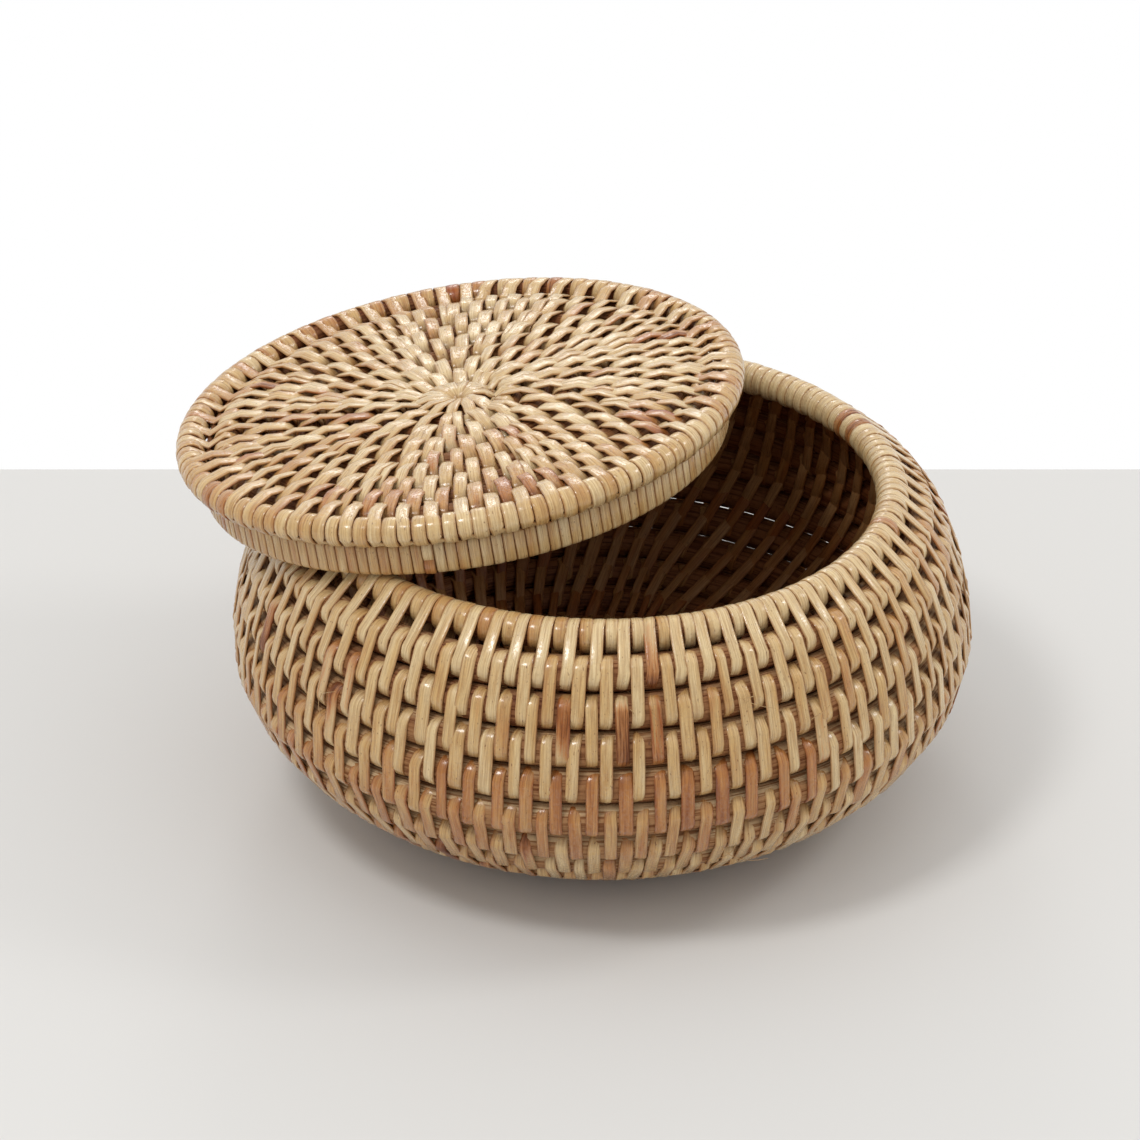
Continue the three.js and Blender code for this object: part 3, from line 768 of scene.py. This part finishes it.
collar_middle = np.array([COLLAR_RADIUS - COLLAR_THICKNESS / 2, (COLLAR_TOP + COLLAR_FOOT) / 2])
collar = Lay(collar_middle, np.array([0.0, 1.0]), np.array([1.0, 0.0]),
             (COLLAR_TOP - COLLAR_FOOT) / 2 - CANE, COLLAR_THICKNESS / 2 - CANE)
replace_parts(add_ring_rod("collar_strip", collar, "lid", at_lid, 13), "collar_hoop")
collar_angles = 2 * math.pi * np.arange(COLLAR_WRAPS) / COLLAR_WRAPS
collar_half = math.pi * COLLAR_RADIUS / COLLAR_WRAPS * COLLAR_SPREAD
brown_side = (collar_angles > BROWN_SIDE[0]) & (collar_angles < BROWN_SIDE[1])
collar_tones = tones(COLLAR_WRAPS, base=0.12, spread=0.3) + np.where(brown_side, BROWN_SIDE_TONE, 0.0)
collar_stains = stains(COLLAR_WRAPS, share=0.02)
collar_runs = [
    wrap(collar, angle, collar_half, tone, stain, 1, COLLAR_ANGLES, COLLAR_DRIFT * draw.randn())
    for angle, tone, stain in zip(collar_angles, collar_tones, collar_stains)]
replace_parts(add_cane("collar_wraps", collar_runs, "lid", at_lid), "collar_binding")
CANE_ENDS = (("collar_cane_end_upper", 0.5, 0.5, 0.0), ("collar_cane_end_lower", 0.4, -0.5, 0.75))
for name, share, up, tone in CANE_ENDS:
    short = collar._replace(middle=collar.middle + np.array([0, up * collar.half]), half=collar.half * share)
    end = wrap(short, collar_angles[COLLAR_JOIN], collar_half, tone, 0.0, 1, END_ANGLES, 0.0, STRIP)
    add_cane(name, [end], "lid", at_lid)


# The stage: a pale painted table top that ends behind the box, white light from all round, and three soft
# lamps: a strong one at the left in front, a weaker one at the right, and one behind for the lid's shine.
FLOOR_SIDE = 2
FLOOR_BACK = 0.168
FLOOR_COLOUR = (0.65, 0.64, 0.62, 1)
FLOOR_ROUGHNESS = 0.6
ROOM_LEVEL = 0.86
SHINE_START, SHINE_END, LEAST_SHINE = -0.3, 0.6, 0.2  # polished cane mirrors a room that is darker in front
LAMP_SIZE = 0.24
LAMP_AIM = Vector((0, 0, 0.05))
LAMPS = (("left soft lamp", (-0.42, -0.4, 1.05), 4.0), ("right soft lamp", (0.8, 0.05, 0.75), 1.7),
         ("back soft lamp", (-0.12, 0.95, 0.62), 0.9))

floor_mesh = bpy.data.meshes.new("floor")
floor_corners = [(-FLOOR_SIDE, -FLOOR_SIDE, 0), (FLOOR_SIDE, -FLOOR_SIDE, 0),
                 (FLOOR_SIDE, FLOOR_BACK, 0), (-FLOOR_SIDE, FLOOR_BACK, 0)]
floor_mesh.from_pydata(floor_corners, [], [(0, 1, 2, 3)])
floor = bpy.data.objects.new("floor", floor_mesh)
bpy.context.scene.collection.objects.link(floor)
floor_paint = bpy.data.materials.new("pale paint")
floor_paint.use_nodes = True
paint = floor_paint.node_tree.nodes["Principled BSDF"].inputs
paint["Base Color"].default_value = FLOOR_COLOUR
paint["Roughness"].default_value = FLOOR_ROUGHNESS
floor_mesh.materials.append(floor_paint)

world = bpy.data.worlds.new("white room")
bpy.context.scene.world = world
world.use_nodes = True
sky = world.node_tree
seen = put(sky, "ShaderNodeLightPath").outputs
plain = worked(sky, "MAXIMUM", worked(sky, "MAXIMUM", seen["Is Camera Ray"], seen["Is Glossy Ray"]),
               seen["Is Transmission Ray"])
facing = put(sky, "ShaderNodeTexCoord").outputs["Generated"]
back = put(sky, "ShaderNodeSeparateXYZ", {0: facing}).outputs[1]
mirrored = ranged(sky, back, SHINE_START, SHINE_END, LEAST_SHINE, 1.0)
shine = put(sky, "ShaderNodeMix", {0: seen["Is Camera Ray"], 2: mirrored, 3: 1.0}).outputs[0]
level = put(sky, "ShaderNodeMix", {0: plain, 2: ROOM_LEVEL, 3: shine}).outputs[0]
sky.nodes["Background"].inputs["Color"].default_value = (1, 1, 1, 1)
sky.links.new(level, sky.nodes["Background"].inputs["Strength"])

for name, spot, power in LAMPS:
    lamp_data = bpy.data.lights.new(name, "AREA")
    lamp_data.size = LAMP_SIZE
    lamp_data.energy = power
    lamp = bpy.data.objects.new(name, lamp_data)
    lamp.location = spot
    lamp.rotation_euler = (LAMP_AIM - lamp.location).to_track_quat("-Z", "Y").to_euler()
    bpy.context.scene.collection.objects.link(lamp)


# The camera: a long lens that looks down on the box from in front, fitted to the outlines of the bowl, the
# rim, the lid and the collar in the photograph.
SENSOR = 36
PHOTO_WIDTH = 1140  # pixels
FOCAL_LENGTH = 4200  # pixels
CAMERA_SIDE, CAMERA_AIM = -0.008641, 0.059813
CAMERA_DISTANCE = 1.129604
CAMERA_ELEVATION = math.radians(29.698)

camera_data = bpy.data.cameras.new("camera")
camera_data.sensor_width = SENSOR
camera_data.lens = SENSOR * FOCAL_LENGTH / PHOTO_WIDTH
camera = bpy.data.objects.new("camera", camera_data)
camera.location = (CAMERA_SIDE, -CAMERA_DISTANCE * math.cos(CAMERA_ELEVATION),
                   CAMERA_AIM + CAMERA_DISTANCE * math.sin(CAMERA_ELEVATION))
camera.rotation_euler = (math.pi / 2 - CAMERA_ELEVATION, 0, 0)
bpy.context.scene.collection.objects.link(camera)
bpy.context.scene.camera = camera
bpy.context.scene.view_settings.view_transform = "Standard"
